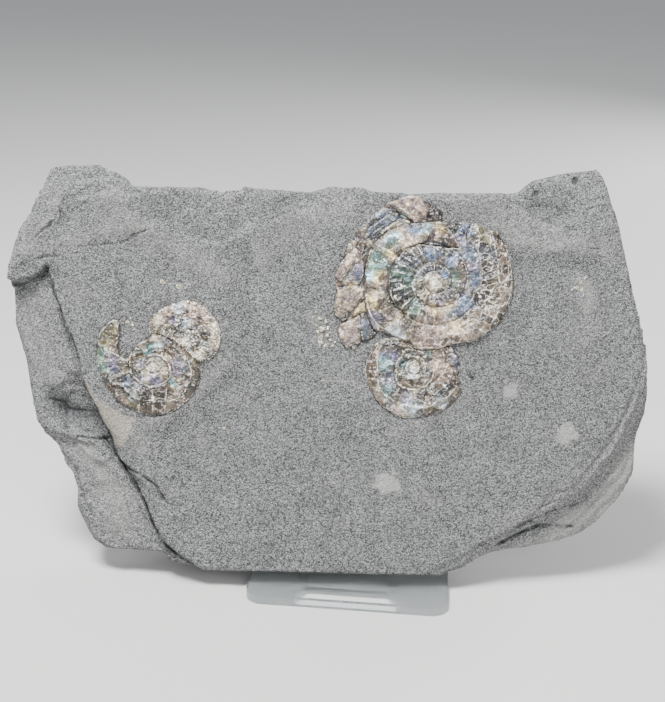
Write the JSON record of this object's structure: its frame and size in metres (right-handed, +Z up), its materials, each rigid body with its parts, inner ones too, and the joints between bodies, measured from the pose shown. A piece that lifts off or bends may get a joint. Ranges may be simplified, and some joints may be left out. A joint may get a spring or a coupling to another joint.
{
  "type": "psiloceras ammonite slab",
  "caption": "Broken slab of grey mudstone with crushed, pearly psiloceras ammonites on its face, leaning back on a small clear display stand.",
  "frame": {"origin": "middle of the footprint of the whole piece, on the surface that the stand rests on", "axes": "+Z up, +X to the right along the slab, -Y towards the viewer and the fossils"},
  "size_m": [0.196, 0.0756, 0.1217],
  "materials": {
    "mudstone": "matte",
    "pearly_shell": "satin",
    "clear_plastic": "gloss"
  },
  "bodies": {
    "root": {"mudstone_slab": "mudstone", "ammonite_large": "pearly_shell", "ammonite_crushed": "pearly_shell", "ammonite_lower": "pearly_shell", "ammonite_left": "pearly_shell", "ammonite_small": "pearly_shell", "display_stand": "clear_plastic"}
  },
  "joints": []
}
